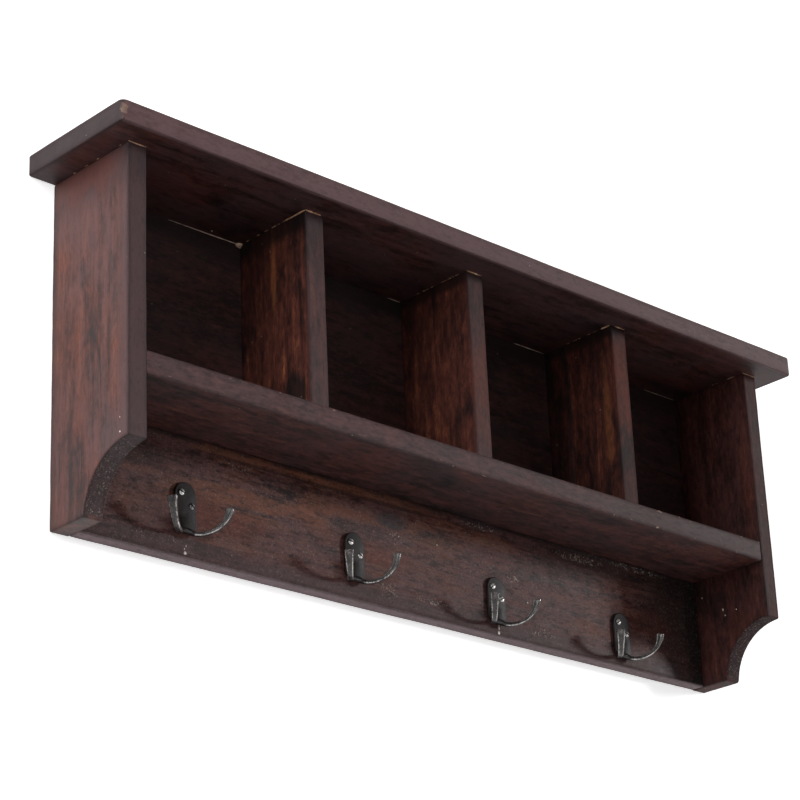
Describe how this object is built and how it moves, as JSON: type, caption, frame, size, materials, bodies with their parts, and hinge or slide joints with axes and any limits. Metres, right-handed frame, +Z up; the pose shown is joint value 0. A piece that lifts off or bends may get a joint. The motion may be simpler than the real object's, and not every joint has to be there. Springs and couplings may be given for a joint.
{
  "type": "wall coat rack",
  "caption": "Dark stained wooden wall rack with an overhanging top, open cubbies, scooped side panels and a rail of black double hooks below.",
  "frame": {"origin": "on the wall plane, midway between the two keyhole entry holes", "axes": "+X to the right along the wall, +Y into the wall, +Z up; the rack stands out towards -Y"},
  "size_m": [0.9, 0.136, 0.346],
  "materials": {
    "stained_wood": "dark red-brown stain under satin lacquer, rubbed at the edges",
    "black_iron": "black, half polished",
    "screw_steel": "bright slotted steel",
    "hanger_steel": "zinc-plated",
    "dowel_beech": "bare",
    "pin_steel": "bare"
  },
  "bodies": {
    "root": {"top_board": "stained_wood", "left_side_panel": "stained_wood", "right_side_panel": "stained_wood", "shelf_board": "stained_wood", "left_divider": "stained_wood", "middle_divider": "stained_wood", "right_divider_rear_board": "stained_wood", "right_divider_front_board": "stained_wood", "lower_back_board": "stained_wood", "upper_back_board": "stained_wood", "hook_rail": "stained_wood", "coat_hook_1": "black_iron", "coat_hook_2": "black_iron", "coat_hook_3": "black_iron", "coat_hook_4": "black_iron", "hook_screws": "screw_steel", "left_keyhole_plate": "hanger_steel", "right_keyhole_plate": "hanger_steel", "keyhole_plate_screws": "screw_steel", "side_top_dowels": "dowel_beech", "divider_top_dowels": "dowel_beech", "divider_foot_dowels": "dowel_beech", "shelf_end_dowels": "dowel_beech", "rail_end_dowels": "dowel_beech", "back_board_pins": "pin_steel"}
  },
  "joints": []
}
